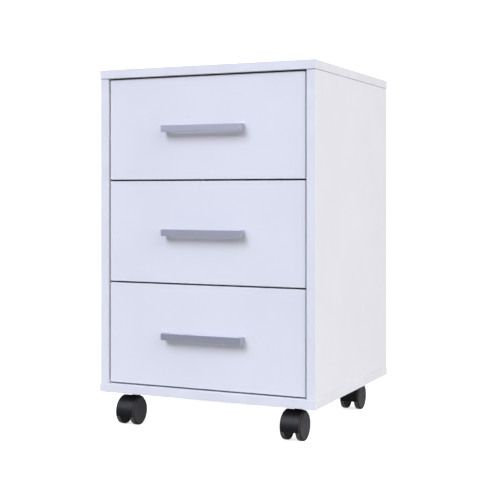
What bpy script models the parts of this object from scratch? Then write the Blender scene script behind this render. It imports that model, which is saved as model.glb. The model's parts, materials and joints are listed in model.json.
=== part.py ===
"""Rolling pedestal cabinet: three drawers on ball-bearing slides, bar handles and four twin-wheel casters.

Metres, +Z up. The origin is on the floor, under the middle of the whole object with its handles.
The drawers open towards -Y.
"""

import math

import bmesh
import bpy
from mathutils import Vector

# Cabinet
CABINET_WIDTH = 0.420
CABINET_DEPTH = 0.398
BODY_HEIGHT = 0.585
BOARD = 0.016
SIDE_INSET = 0.001
SIDE_SETBACK = 0.0015
BACK_THICKNESS = 0.003
BACK_INSET = 0.010
GROOVE_DEPTH = 0.006

# Gaps
GAP = 0.0003
GROOVE_CLEARANCE = 0.0003

# Drawers
DRAWER_NAMES = ("lower", "middle", "upper")
FRONT_THICKNESS = 0.016
FRONT_RECESS = 0.003
FRONT_GAP = 0.003
BOX_BOARD = 0.012
BOX_HEIGHT = 0.120
BOX_LIFT = 0.020
BOX_REAR_SPACE = 0.0125
BOTTOM_THICKNESS = 0.003
BOTTOM_LIFT = 0.010

# Drawer slides, one pair to each drawer
RAIL_SPACE = 0.0127
RAIL_START = 0.002
RAIL_SHEET = 0.0012
RAIL_HEIGHT = 0.045
RAIL_BALL_SPACE = 0.0028
RAIL_STEP = 0.0012
RAIL_LIP = 0.0027

# Handles
HANDLE_LENGTH = 0.155
HANDLE_HEIGHT = 0.012
HANDLE_DEPTH = 0.016
HANDLE_BAR = 0.0055
HANDLE_LEG = 0.008
HANDLE_FOOT_HEIGHT = 0.0064
HANDLE_DROP = 0.0007
HANDLE_TAPER_START = 0.001
HANDLE_EDGE = 0.0006

# Casters
CASTER_SIDE_INSET = 0.049
CASTER_END_INSET = 0.0475
CASTER_WIDTH = 0.038
CASTER_TRAIL = 0.0175
WHEEL_RADIUS = 0.025
WHEEL_GAP = 0.018
WHEEL_FACE = 0.0025
WHEEL_DISH = 0.0015
WHEEL_RIM = 0.003
WHEEL_EDGE = 0.002
WHEEL_HUB_RADIUS = 0.0065
WHEEL_STEPS = 32
AXLE_RADIUS = 0.003
AXLE_CLEARANCE = 0.0003
ARM_WIDTH = 0.012
ARM_CLEARANCE = 0.0006
HOOD_CLEARANCE = 0.0008
HOOD_SHEET = 0.0015
HOOD_TOP_SPACE = 0.0029
HOOD_SIDE_CLEARANCE = 0.0005
HOOD_FRONT_HEIGHT = 0.018
HOOD_REAR_REACH = 0.017
HOOD_STEPS = 18
KINGPIN_RADIUS = 0.004
KINGPIN_CLEARANCE = 0.0003
KINGPIN_LENGTH = 0.026
BOSS_CLEARANCE = 0.0015
BOSS_FLOOR = 0.0042
PLATE_SIDE = 0.040
PLATE_THICKNESS = 0.0025
RACE_RADIUS = 0.012
RACE_THICKNESS = 0.0020
PIN_SIDES = 24

# Sizes that follow from the ones above
HANDLE_REACH = HANDLE_DEPTH + GAP - SIDE_SETBACK - FRONT_RECESS
HOOD_TOP = 2 * WHEEL_RADIUS + HOOD_CLEARANCE + HOOD_SHEET
CASTER_HEIGHT = HOOD_TOP + HOOD_TOP_SPACE + RACE_THICKNESS + PLATE_THICKNESS + GAP
WHEEL_WIDTH = (CASTER_WIDTH - WHEEL_GAP) / 2
BOSS_RADIUS = WHEEL_GAP / 2 - BOSS_CLEARANCE
OUTER_X = CABINET_WIDTH / 2
BODY_FRONT_Y = HANDLE_REACH / 2 - CABINET_DEPTH / 2
BODY_REAR_Y = BODY_FRONT_Y + CABINET_DEPTH
BODY_BOTTOM = CASTER_HEIGHT
BODY_TOP = CASTER_HEIGHT + BODY_HEIGHT
SIDE_X = OUTER_X - SIDE_INSET
INNER_X = SIDE_X - BOARD
INNER_BOTTOM = BODY_BOTTOM + BOARD
INNER_TOP = BODY_TOP - BOARD
SIDE_FRONT_Y = BODY_FRONT_Y + SIDE_SETBACK
FRONT_Y = SIDE_FRONT_Y + FRONT_RECESS
FRONT_BACK_Y = FRONT_Y + FRONT_THICKNESS
FRONT_WIDTH = 2 * (INNER_X - FRONT_GAP)
DRAWER_COUNT = len(DRAWER_NAMES)
FRONT_HEIGHT = (INNER_TOP - INNER_BOTTOM - (DRAWER_COUNT + 1) * FRONT_GAP) / DRAWER_COUNT
BACK_Y = BODY_REAR_Y - BACK_INSET - BACK_THICKNESS / 2
GROOVE_WIDTH = BACK_THICKNESS + 2 * GROOVE_CLEARANCE
BACK_REACH = GROOVE_DEPTH - GROOVE_CLEARANCE
BOX_X = INNER_X - RAIL_SPACE - 2 * GAP
BOX_FRONT_Y = FRONT_BACK_Y + GAP
BOX_REAR_Y = BACK_Y - BACK_THICKNESS / 2 - BOX_REAR_SPACE
BOX_INNER_X = BOX_X - BOX_BOARD
RAIL_LENGTH = BOX_REAR_Y - FRONT_BACK_Y - RAIL_START
BOTTOM_REACH = GROOVE_DEPTH - GROOVE_CLEARANCE
BOTTOM_GROOVE = BOTTOM_THICKNESS + 2 * GROOVE_CLEARANCE

# Looks: colour, roughness, metallic
WHITE_BOARD = ((0.80, 0.81, 0.86), 0.45, 0.0)
WHITE_HARDBOARD = ((0.78, 0.78, 0.80), 0.60, 0.0)
SATIN_METAL = ((0.52, 0.52, 0.57), 0.35, 1.0)
ZINC_STEEL = ((0.62, 0.63, 0.65), 0.30, 1.0)
BLACK_NYLON = ((0.035, 0.035, 0.040), 0.40, 0.0)
BLACK_TREAD = ((0.045, 0.042, 0.040), 0.60, 0.0)


def clear_scene():
    for obj in list(bpy.data.objects):
        bpy.data.objects.remove(obj, do_unlink=True)


def make_collection(name):
    collection = bpy.data.collections.new(name)
    bpy.context.scene.collection.children.link(collection)
    return collection


def move_to(obj, collection):
    for owner in list(obj.users_collection):
        owner.objects.unlink(obj)
    collection.objects.link(obj)


def give_material(obj, look):
    colour, roughness, metallic = look
    material = bpy.data.materials.new(obj.name + "_material")
    material.use_nodes = True
    shader = material.node_tree.nodes["Principled BSDF"]
    shader.inputs["Base Color"].default_value = (*colour, 1.0)
    shader.inputs["Roughness"].default_value = roughness
    shader.inputs["Metallic"].default_value = metallic
    material.diffuse_color = (*colour, 1.0)
    obj.data.materials.clear()
    obj.data.materials.append(material)


def make_empty(name, location):
    empty = bpy.data.objects.new(name, None)
    empty.empty_display_size = 0.03
    empty.location = location
    parts.objects.link(empty)
    return empty


def place(obj, location, parent):
    """Puts the object at a place in the cabinet's frame, under an empty that isn't turned."""
    if parent is None:
        obj.location = location
        return
    obj.parent = parent
    obj.location = Vector(location) - parent.location


def apply_scale(obj):
    bpy.ops.object.select_all(action="DESELECT")
    obj.select_set(True)
    bpy.context.view_layer.objects.active = obj
    bpy.ops.object.transform_apply(location=False, rotation=False, scale=True)


def make_box(name, size, location, look=None, parent=None):
    bpy.ops.mesh.primitive_cube_add(size=1.0)
    box = bpy.context.active_object
    box.name = name
    box.data.name = name
    box.scale = size
    apply_scale(box)
    if look is None:
        hide_cutter(box)
        box.location = location
        return box
    move_to(box, parts)
    give_material(box, look)
    place(box, location, parent)
    return box


def make_span(name, low, high, look=None, parent=None):
    """A box from its low corner to its high corner."""
    size = [high[i] - low[i] for i in range(3)]
    middle = [(high[i] + low[i]) / 2 for i in range(3)]
    return make_box(name, size, middle, look, parent)


def make_cylinder(name, radius, length, location, rotation=(0.0, 0.0, 0.0)):
    """A helper solid for a union or a cut."""
    bpy.ops.mesh.primitive_cylinder_add(vertices=PIN_SIDES, radius=radius, depth=length)
    cylinder = bpy.context.active_object
    cylinder.name = name
    cylinder.location = location
    cylinder.rotation_euler = rotation
    hide_cutter(cylinder)
    return cylinder


def hide_cutter(obj):
    move_to(obj, cutters)
    obj.hide_render = True
    obj.display_type = "WIRE"


def boolean(obj, helper, operation):
    """Joins or cuts with a helper, which then follows the piece."""
    bpy.context.view_layer.update()
    modifier = obj.modifiers.new(helper.name, "BOOLEAN")
    modifier.operation = operation
    modifier.solver = "EXACT"
    modifier.object = helper
    helper.parent = obj
    helper.matrix_parent_inverse = obj.matrix_world.inverted()


def shade_round(obj):
    for polygon in obj.data.polygons:
        polygon.use_smooth = True
    obj.data.set_sharp_from_angle(angle=math.radians(35))


def add_bevel(obj, width, segments=2):
    modifier = obj.modifiers.new("edge", "BEVEL")
    modifier.width = width
    modifier.segments = segments
    modifier.limit_method = "ANGLE"
    modifier.angle_limit = math.radians(40)


def make_carcass():
    """Top and bottom boards run over the side panels, and the thin back sits in a groove in all four."""
    top = make_span(
        "top_panel",
        (-OUTER_X, BODY_FRONT_Y, INNER_TOP),
        (OUTER_X, BODY_REAR_Y, BODY_TOP),
        WHITE_BOARD,
    )
    bottom = make_span(
        "bottom_panel",
        (-OUTER_X, BODY_FRONT_Y, BODY_BOTTOM),
        (OUTER_X, BODY_REAR_Y, INNER_BOTTOM),
        WHITE_BOARD,
    )
    groove_x = INNER_X + GROOVE_DEPTH
    groove_front = BACK_Y - GROOVE_WIDTH / 2
    groove_back = BACK_Y + GROOVE_WIDTH / 2
    top_cut = make_span(
        "top_groove",
        (-groove_x, groove_front, INNER_TOP - GROOVE_DEPTH),
        (groove_x, groove_back, INNER_TOP + GROOVE_DEPTH),
    )
    boolean(top, top_cut, "DIFFERENCE")
    bottom_cut = make_span(
        "bottom_groove",
        (-groove_x, groove_front, INNER_BOTTOM - GROOVE_DEPTH),
        (groove_x, groove_back, INNER_BOTTOM + GROOVE_DEPTH),
    )
    boolean(bottom, bottom_cut, "DIFFERENCE")
    for word, side in (("left", -1), ("right", 1)):
        near = side * INNER_X
        far = side * SIDE_X
        panel = make_span(
            word + "_side_panel",
            (min(near, far), SIDE_FRONT_Y, INNER_BOTTOM + GAP),
            (max(near, far), BODY_REAR_Y, INNER_TOP - GAP),
            WHITE_BOARD,
        )
        cut_in = side * (INNER_X - GROOVE_DEPTH)
        cut_out = side * groove_x
        cut = make_span(
            word + "_side_groove",
            (min(cut_in, cut_out), groove_front, BODY_BOTTOM),
            (max(cut_in, cut_out), groove_back, BODY_TOP),
        )
        boolean(panel, cut, "DIFFERENCE")
    make_span(
        "back_panel",
        (-INNER_X - BACK_REACH, BACK_Y - BACK_THICKNESS / 2, INNER_BOTTOM - BACK_REACH),
        (INNER_X + BACK_REACH, BACK_Y + BACK_THICKNESS / 2, INNER_TOP + BACK_REACH),
        WHITE_HARDBOARD,
    )


def make_rail(name, points, parent, start_y):
    """A folded sheet rail: its section drawn across the slide, extruded along the slide."""
    mesh = bpy.data.meshes.new(name)
    bm = bmesh.new()
    corners = [bm.verts.new((x, start_y, z)) for x, z in points]
    face = bm.faces.new(corners)
    grown = bmesh.ops.extrude_face_region(bm, geom=[face])
    moved = [item for item in grown["geom"] if isinstance(item, bmesh.types.BMVert)]
    bmesh.ops.translate(bm, verts=moved, vec=(0.0, RAIL_LENGTH, 0.0))
    bmesh.ops.recalc_face_normals(bm, faces=bm.faces)
    bm.to_mesh(mesh)
    bm.free()
    rail = bpy.data.objects.new(name, mesh)
    parts.objects.link(rail)
    give_material(rail, ZINC_STEEL)
    if parent is not None:
        mesh.transform(rail.matrix_world)
        rail.parent = parent
        rail.location = -parent.location
    return rail


def channel(web_x, open_x, half_height, centre_z):
    """Outline of a C section: its web at web_x, its open side towards open_x."""
    way = 1 if open_x > web_x else -1
    sheet = RAIL_SHEET
    inside_x = web_x + way * sheet
    outline = [
        (web_x, -half_height),
        (open_x, -half_height),
        (open_x, -half_height + sheet),
        (inside_x, -half_height + sheet),
        (inside_x, half_height - sheet),
        (open_x, half_height - sheet),
        (open_x, half_height),
        (web_x, half_height),
    ]
    return [(x, centre_z + z) for x, z in outline]


def make_slide(drawer_name, word, side, centre_z, drawer, stage):
    """Three nested rails: one on the cabinet, one between, one on the drawer."""
    start_y = FRONT_BACK_Y + RAIL_START
    wall_x = INNER_X - GAP
    half = RAIL_HEIGHT / 2
    stem = drawer_name + "_" + word + "_slide_"
    outer_open = wall_x - RAIL_SPACE + RAIL_LIP
    outer = channel(side * wall_x, side * outer_open, half, centre_z)
    make_rail(stem + "cabinet_rail", outer, None, start_y)
    half_middle = half - RAIL_SHEET - RAIL_BALL_SPACE
    middle_web = wall_x - RAIL_SHEET - RAIL_STEP
    middle_open = outer_open - RAIL_SHEET / 2
    middle = channel(side * middle_web, side * middle_open, half_middle, centre_z)
    make_rail(stem + "middle_rail", middle, stage, start_y)
    half_inner = half_middle - RAIL_SHEET - RAIL_BALL_SPACE
    inner_web = wall_x - RAIL_SPACE
    inner_open = middle_web - RAIL_SHEET - RAIL_STEP
    inner = channel(side * inner_web, side * inner_open, half_inner, centre_z)
    make_rail(stem + "drawer_rail", inner, drawer, start_y)


def make_handle(name, location, parent):
    """A flat bar with a leg at each end. The legs taper from below towards the drawer front."""
    handle = make_box(
        name,
        (HANDLE_LENGTH, HANDLE_DEPTH, HANDLE_HEIGHT),
        location,
        SATIN_METAL,
        parent,
    )
    x, y, z = location
    front = y - HANDLE_DEPTH / 2
    foot = y + HANDLE_DEPTH / 2
    gap_x = HANDLE_LENGTH / 2 - HANDLE_LEG
    gap = make_span(
        name + "_finger_gap",
        (x - gap_x, front + HANDLE_BAR, z - HANDLE_HEIGHT),
        (x + gap_x, foot + HANDLE_DEPTH, z + HANDLE_HEIGHT),
    )
    boolean(handle, gap, "DIFFERENCE")
    rise = HANDLE_HEIGHT - HANDLE_FOOT_HEIGHT
    run = HANDLE_DEPTH - HANDLE_BAR - HANDLE_TAPER_START
    slope = math.atan2(rise, run)
    taper = make_box(name + "_taper", (2 * HANDLE_LENGTH, 4 * run, 2 * rise), (0, 0, 0))
    taper.rotation_euler = (slope, 0.0, 0.0)
    along = Vector((0.0, math.cos(slope), math.sin(slope)))
    down = Vector((0.0, math.sin(slope), -math.cos(slope)))
    taper_start = Vector((x, foot - run, z - HANDLE_HEIGHT / 2))
    taper.location = taper_start + along * (run / 2) + down * rise
    boolean(handle, taper, "DIFFERENCE")
    add_bevel(handle, HANDLE_EDGE)
    return handle


def make_drawer(index, drawer_name):
    front_low = INNER_BOTTOM + FRONT_GAP + index * (FRONT_HEIGHT + FRONT_GAP)
    front_high = front_low + FRONT_HEIGHT
    middle_z = (front_low + front_high) / 2
    drawer = make_empty(drawer_name + "_drawer", (0.0, FRONT_Y, middle_z))
    stage = make_empty(drawer_name + "_drawer_runner", (0.0, FRONT_Y, middle_z))
    stem = drawer_name + "_drawer_"
    front = make_span(
        stem + "front",
        (-FRONT_WIDTH / 2, FRONT_Y, front_low),
        (FRONT_WIDTH / 2, FRONT_BACK_Y, front_high),
        WHITE_BOARD,
        drawer,
    )
    box_low = front_low + BOX_LIFT
    box_high = box_low + BOX_HEIGHT
    bottom_low = box_low + BOTTOM_LIFT
    bottom_high = bottom_low + BOTTOM_THICKNESS
    groove_low = bottom_low - GROOVE_CLEARANCE
    groove_high = groove_low + BOTTOM_GROOVE
    groove_x = BOX_INNER_X + GROOVE_DEPTH
    front_cut = make_span(
        stem + "front_groove",
        (-groove_x, FRONT_BACK_Y - GROOVE_DEPTH, groove_low),
        (groove_x, FRONT_BACK_Y + GROOVE_DEPTH, groove_high),
    )
    boolean(front, front_cut, "DIFFERENCE")
    for word, side in (("left", -1), ("right", 1)):
        near = side * BOX_INNER_X
        far = side * BOX_X
        board = make_span(
            stem + word + "_side",
            (min(near, far), BOX_FRONT_Y, box_low),
            (max(near, far), BOX_REAR_Y, box_high),
            WHITE_BOARD,
            drawer,
        )
        cut_in = side * (BOX_INNER_X - GROOVE_DEPTH)
        cut_out = side * groove_x
        cut = make_span(
            stem + word + "_groove",
            (min(cut_in, cut_out), BOX_FRONT_Y - BOX_BOARD, groove_low),
            (max(cut_in, cut_out), BOX_REAR_Y + BOX_BOARD, groove_high),
        )
        boolean(board, cut, "DIFFERENCE")
        rail_z = (box_low + box_high) / 2
        make_slide(drawer_name, word, side, rail_z, drawer, stage)
    make_span(
        stem + "back",
        (-BOX_INNER_X + GAP, BOX_REAR_Y - BOX_BOARD, bottom_high + GAP),
        (BOX_INNER_X - GAP, BOX_REAR_Y, box_high),
        WHITE_BOARD,
        drawer,
    )
    make_span(
        stem + "bottom",
        (-BOX_INNER_X - BOTTOM_REACH, FRONT_BACK_Y - BOTTOM_REACH, bottom_low),
        (BOX_INNER_X + BOTTOM_REACH, BOX_REAR_Y, bottom_high),
        WHITE_HARDBOARD,
        drawer,
    )
    handle_y = FRONT_Y - GAP - HANDLE_DEPTH / 2
    handle_z = middle_z - HANDLE_DROP
    make_handle(stem + "handle", (0.0, handle_y, handle_z), drawer)


def wheel_profile():
    """Radius and height along the axle, from the outer face's middle round to the blind bore."""
    half = WHEEL_WIDTH / 2
    edge = WHEEL_EDGE
    points = [(0.0, half)]
    for step in range(4):
        turn = math.radians(90 - 30 * step)
        radius = WHEEL_RADIUS - edge + edge * math.cos(turn)
        points.append((radius, half - edge + edge * math.sin(turn)))
    points.append((WHEEL_RADIUS, -half + edge))
    points.append((WHEEL_RADIUS - edge * 0.3, -half + edge * 0.3))
    points.append((WHEEL_RADIUS - edge, -half))
    points.append((WHEEL_RADIUS - WHEEL_RIM, -half))
    points.append((WHEEL_RADIUS - WHEEL_RIM, -half + WHEEL_DISH))
    hub_end = half - (CASTER_WIDTH / 2 - ARM_WIDTH / 2 - ARM_CLEARANCE)
    bore = AXLE_RADIUS + AXLE_CLEARANCE
    points.append((WHEEL_HUB_RADIUS, -half + WHEEL_DISH))
    points.append((WHEEL_HUB_RADIUS, hub_end))
    points.append((bore, hub_end))
    points.append((bore, half - WHEEL_FACE))
    points.append((0.0, half - WHEEL_FACE))
    return points


def make_wheel_mesh():
    mesh = bpy.data.meshes.new("caster_wheel")
    bm = bmesh.new()
    verts = [bm.verts.new((radius, 0.0, height)) for radius, height in wheel_profile()]
    for first, second in zip(verts, verts[1:]):
        bm.edges.new((first, second))
    bm.to_mesh(mesh)
    bm.free()
    return mesh


def make_wheel(name, side, axle, parent):
    """A turned wheel, closed on its outer face, with its origin on the axle."""
    wheel = bpy.data.objects.new(name, make_wheel_mesh())
    parts.objects.link(wheel)
    give_material(wheel, BLACK_TREAD)
    turned = wheel.modifiers.new("turned", "SCREW")
    turned.axis = "Z"
    turned.angle = math.radians(360)
    turned.steps = WHEEL_STEPS
    turned.render_steps = WHEEL_STEPS
    turned.use_merge_vertices = True
    turned.merge_threshold = 0.00001
    turned.use_smooth_shade = True
    middle_x = axle.x + side * (CASTER_WIDTH - WHEEL_WIDTH) / 2
    place(wheel, (middle_x, axle.y, axle.z), parent)
    wheel.rotation_euler = (0.0, side * math.radians(90), 0.0)
    return wheel


def make_hood(name, axle, swivel_x, swivel_y, parent):
    """A curved cover over both wheels, with the kingpin's boss, the axle's arm and the axle pin in one piece."""
    radius = WHEEL_RADIUS + HOOD_CLEARANCE
    half_x = CASTER_WIDTH / 2 - WHEEL_FACE - HOOD_SIDE_CLEARANCE
    low = math.asin((HOOD_FRONT_HEIGHT - WHEEL_RADIUS) / radius)
    high = math.pi - math.acos(HOOD_REAR_REACH / radius)
    mesh = bpy.data.meshes.new(name)
    bm = bmesh.new()
    rows = []
    for step in range(HOOD_STEPS + 1):
        turn = low + (high - low) * step / HOOD_STEPS
        y = -radius * math.cos(turn)
        z = radius * math.sin(turn)
        rows.append((bm.verts.new((-half_x, y, z)), bm.verts.new((half_x, y, z))))
    for first, second in zip(rows, rows[1:]):
        bm.faces.new((first[0], first[1], second[1], second[0]))
    bmesh.ops.recalc_face_normals(bm, faces=bm.faces)
    bm.to_mesh(mesh)
    bm.free()
    hood = bpy.data.objects.new(name, mesh)
    parts.objects.link(hood)
    give_material(hood, BLACK_NYLON)
    place(hood, axle, parent)
    sheet = hood.modifiers.new("sheet", "SOLIDIFY")
    sheet.thickness = HOOD_SHEET
    middle_face = mesh.polygons[len(mesh.polygons) // 2]
    faces_out = middle_face.normal.dot(middle_face.center) > 0
    sheet.offset = 1.0 if faces_out else -1.0
    arm_low = axle.z - AXLE_RADIUS - BOSS_FLOOR / 2
    arm_high = axle.z + math.sqrt(radius**2 - (ARM_WIDTH / 2) ** 2) - CASTER_TRAIL / 2
    arm = make_span(
        name + "_arm",
        (axle.x - ARM_WIDTH / 2, axle.y - AXLE_RADIUS - BOSS_FLOOR, arm_low),
        (axle.x + ARM_WIDTH / 2, swivel_y, arm_high),
    )
    boolean(hood, arm, "UNION")
    rib = make_span(
        name + "_rib",
        (axle.x - ARM_WIDTH / 4, axle.y - radius * 0.6, axle.z),
        (axle.x + ARM_WIDTH / 4, swivel_y, axle.z + radius * 0.79),
    )
    boolean(hood, rib, "UNION")
    boss_top = CASTER_HEIGHT - GAP - PLATE_THICKNESS - RACE_THICKNESS - GAP
    boss_low = boss_top - KINGPIN_LENGTH - BOSS_FLOOR
    boss = make_cylinder(
        name + "_boss",
        BOSS_RADIUS,
        boss_top - boss_low,
        (swivel_x, swivel_y, (boss_top + boss_low) / 2),
    )
    boolean(hood, boss, "UNION")
    axle_length = CASTER_WIDTH - 2 * WHEEL_FACE - 2 * ARM_CLEARANCE
    pin = make_cylinder(
        name + "_axle",
        AXLE_RADIUS,
        axle_length,
        (axle.x, axle.y, axle.z),
        (0.0, math.radians(90), 0.0),
    )
    boolean(hood, pin, "UNION")
    bore_low = boss_low + BOSS_FLOOR
    bore = make_cylinder(
        name + "_bore",
        KINGPIN_RADIUS + KINGPIN_CLEARANCE,
        boss_top - bore_low + BOSS_FLOOR,
        (swivel_x, swivel_y, (boss_top + bore_low + BOSS_FLOOR) / 2),
    )
    boolean(hood, bore, "DIFFERENCE")
    return hood


def make_plate(name, swivel_x, swivel_y):
    """The fixing plate under the bottom board, with the bearing race and the kingpin riveted to it."""
    top = CASTER_HEIGHT - GAP
    low = top - PLATE_THICKNESS
    plate = make_span(
        name,
        (swivel_x - PLATE_SIDE / 2, swivel_y - PLATE_SIDE / 2, low),
        (swivel_x + PLATE_SIDE / 2, swivel_y + PLATE_SIDE / 2, top),
        ZINC_STEEL,
    )
    overlap = PLATE_THICKNESS / 2
    race = make_cylinder(
        name + "_race",
        RACE_RADIUS,
        RACE_THICKNESS + overlap,
        (swivel_x, swivel_y, low - (RACE_THICKNESS - overlap) / 2),
    )
    boolean(plate, race, "UNION")
    pin_top = low - RACE_THICKNESS + overlap
    pin_low = low - RACE_THICKNESS - KINGPIN_LENGTH + KINGPIN_CLEARANCE
    kingpin = make_cylinder(
        name + "_kingpin",
        KINGPIN_RADIUS,
        pin_top - pin_low,
        (swivel_x, swivel_y, (pin_top + pin_low) / 2),
    )
    boolean(plate, kingpin, "UNION")


def make_caster(caster_name, side_x, swivel_y):
    swivel_x = side_x * (OUTER_X - CASTER_SIDE_INSET)
    axle = Vector((swivel_x, swivel_y - CASTER_TRAIL, WHEEL_RADIUS))
    swivel = make_empty(caster_name + "_caster_swivel", (swivel_x, swivel_y, WHEEL_RADIUS))
    stem = caster_name + "_caster_"
    make_plate(stem + "plate", swivel_x, swivel_y)
    make_hood(stem + "hood", axle, swivel_x, swivel_y, swivel)
    make_wheel(stem + "left_wheel", -1, axle, swivel)
    make_wheel(stem + "right_wheel", 1, axle, swivel)


clear_scene()
parts = make_collection("rolling_pedestal_cabinet")
cutters = make_collection("cutters")
make_carcass()
for drawer_index, drawer_word in enumerate(DRAWER_NAMES):
    make_drawer(drawer_index, drawer_word)
front_row_y = BODY_FRONT_Y + CASTER_END_INSET
rear_row_y = BODY_REAR_Y - CASTER_END_INSET
for row_name, row_y in (("front", front_row_y), ("rear", rear_row_y)):
    make_caster(row_name + "_left", -1, row_y)
    make_caster(row_name + "_right", 1, row_y)
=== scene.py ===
import json
import math

import bmesh
import bpy
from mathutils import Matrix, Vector

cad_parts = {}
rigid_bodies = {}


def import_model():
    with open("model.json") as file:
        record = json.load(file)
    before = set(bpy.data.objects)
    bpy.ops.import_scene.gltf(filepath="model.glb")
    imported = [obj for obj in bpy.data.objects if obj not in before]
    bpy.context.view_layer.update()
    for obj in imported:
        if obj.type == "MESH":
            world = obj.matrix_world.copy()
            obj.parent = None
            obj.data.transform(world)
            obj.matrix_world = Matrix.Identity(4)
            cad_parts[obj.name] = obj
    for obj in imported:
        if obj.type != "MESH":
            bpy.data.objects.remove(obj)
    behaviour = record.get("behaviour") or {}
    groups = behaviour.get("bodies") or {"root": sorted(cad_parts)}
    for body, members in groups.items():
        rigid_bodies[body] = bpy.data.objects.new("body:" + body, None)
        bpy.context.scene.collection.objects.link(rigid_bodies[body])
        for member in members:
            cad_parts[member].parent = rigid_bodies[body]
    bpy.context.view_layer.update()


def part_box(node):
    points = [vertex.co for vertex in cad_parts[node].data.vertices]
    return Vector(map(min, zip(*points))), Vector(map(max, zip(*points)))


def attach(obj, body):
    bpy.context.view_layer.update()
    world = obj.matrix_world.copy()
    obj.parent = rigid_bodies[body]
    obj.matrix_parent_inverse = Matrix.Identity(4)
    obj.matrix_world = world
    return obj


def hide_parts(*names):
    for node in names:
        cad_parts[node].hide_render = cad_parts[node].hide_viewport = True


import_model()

mm = 0.001  # the frame is in metres; the drawers open towards -Y and +X is the cabinet's right side
tiny = 1e-6  # how near a point has to be to count as on a plane
past = 10 * mm  # how far a cutter runs out beyond the face that it cuts
drawers = ("lower", "middle", "upper")
sides = (("left", -1), ("right", 1))
casters = ("front_left", "front_right", "rear_left", "rear_right")


# small helpers for selecting and shaping

def deselectAll():
    for obj in bpy.context.scene.objects:
        obj.select_set(False)


def makeActive(obj):
    deselectAll()
    obj.select_set(True)
    bpy.context.view_layer.objects.active = obj


def startEdit(obj, kind="FACE"):
    makeActive(obj)
    bpy.ops.object.mode_set(mode="EDIT")
    bpy.ops.mesh.select_mode(type=kind)
    bpy.ops.mesh.select_all(action="DESELECT")


def endEdit():
    bpy.ops.object.mode_set(mode="OBJECT")


def pick(obj, kind, test):  # kind is verts, edges or faces
    mesh = bmesh.from_edit_mesh(obj.data)
    bpy.ops.mesh.select_all(action="DESELECT")
    for item in getattr(mesh, kind):
        if test(item):
            item.select_set(True)
    mesh.select_flush_mode()
    bmesh.update_edit_mesh(obj.data)


def on(place, plane):
    return abs(place - plane) < tiny


def middle(item):
    return sum((vert.co for vert in item.verts), Vector()) / len(item.verts)


def settle(obj):  # the place goes into the mesh and the object stays at the origin
    makeActive(obj)
    bpy.ops.object.transform_apply(location=True, rotation=True, scale=True)


def addBox(name, low, high):
    deselectAll()
    bpy.ops.mesh.primitive_cube_add(size=1, location=[(a + b) / 2 for a, b in zip(low, high)])
    obj = bpy.context.active_object
    obj.name = name
    obj.scale = [b - a for a, b in zip(low, high)]
    settle(obj)
    return obj


def addRod(name, radius, start, end, corners=48):  # a rod between two points on a line along X, Y or Z
    deselectAll()
    along = Vector(end) - Vector(start)
    turn = Vector((0, 0, 1)).rotation_difference(along).to_euler()
    bpy.ops.mesh.primitive_cylinder_add(
        vertices=corners,
        radius=radius,
        depth=along.length,
        location=(Vector(start) + Vector(end)) / 2,
        rotation=turn,
    )
    obj = bpy.context.active_object
    obj.name = name
    settle(obj)
    return obj


def roundEdges(obj, width, segments, test):
    startEdit(obj, "EDGE")
    pick(obj, "edges", test)
    bpy.ops.mesh.bevel(offset=width, segments=segments, affect="EDGES")
    endEdit()


def roundSharp(obj, width, segments=2, degrees=40):
    startEdit(obj, "EDGE")
    bpy.ops.mesh.edges_select_sharp(sharpness=math.radians(degrees))
    bpy.ops.mesh.bevel(offset=width, segments=segments, affect="EDGES")
    endEdit()


def combine(obj, other, operation):
    makeActive(obj)
    modifier = obj.modifiers.new("combine", "BOOLEAN")
    modifier.operation = operation
    modifier.solver = "EXACT"
    modifier.object = other
    bpy.ops.object.modifier_apply(modifier=modifier.name)
    bpy.data.objects.remove(other, do_unlink=True)


def cutBox(obj, low, high):
    combine(obj, addBox("cutter", low, high), "DIFFERENCE")


def cutRod(obj, radius, start, end, corners=32):
    combine(obj, addRod("cutter", radius, start, end, corners), "DIFFERENCE")


def smooth(obj, degrees=35):  # rounded edges shade smoothly and flat faces stay flat
    makeActive(obj)
    bpy.ops.object.shade_smooth_by_angle(angle=math.radians(degrees))
    weighted = obj.modifiers.new("weighted", "WEIGHTED_NORMAL")
    weighted.weight = 100
    weighted.keep_sharp = True
    bpy.ops.object.modifier_apply(modifier=weighted.name)


def copyPiece(source, name, place=(0, 0, 0), turn=(0, 0, 0), flipX=False):
    makeActive(source)
    bpy.ops.object.duplicate(linked=False)
    obj = bpy.context.active_object
    obj.name = name
    obj.rotation_euler = turn
    obj.location = place
    if flipX:
        obj.scale = (-1, 1, 1)
    settle(obj)
    if flipX:
        startEdit(obj)
        bpy.ops.mesh.select_all(action="SELECT")
        bpy.ops.mesh.normals_make_consistent(inside=False)
        endEdit()
    return obj


def discard(obj):
    bpy.data.objects.remove(obj, do_unlink=True)


def joinAll(name, objs):
    makeActive(objs[0])
    for obj in objs:
        obj.select_set(True)
    bpy.ops.object.join()
    objs[0].name = name
    return objs[0]


def finishPiece(obj, body, slot, material, *nodes):
    obj.data.materials.clear()
    obj.data.materials.append(material)
    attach(obj, body)
    if nodes:
        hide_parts(*nodes)
    return obj


# materials

def fromHex(code):
    parts = [int(code[i:i + 2], 16) / 255 for i in (0, 2, 4)]
    return (*[p / 12.92 if p <= 0.04045 else ((p + 0.055) / 1.055) ** 2.4 for p in parts], 1)


def addNode(tree, kind, settings=None, links=None):
    node = tree.nodes.new(kind)
    for key, value in (settings or {}).items():
        if isinstance(key, str) and hasattr(node, key):
            setattr(node, key, value)
        else:
            node.inputs[key].default_value = value
    for key, (source, output) in (links or {}).items():
        tree.links.new(source.outputs[output], node.inputs[key])
    return node


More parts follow.
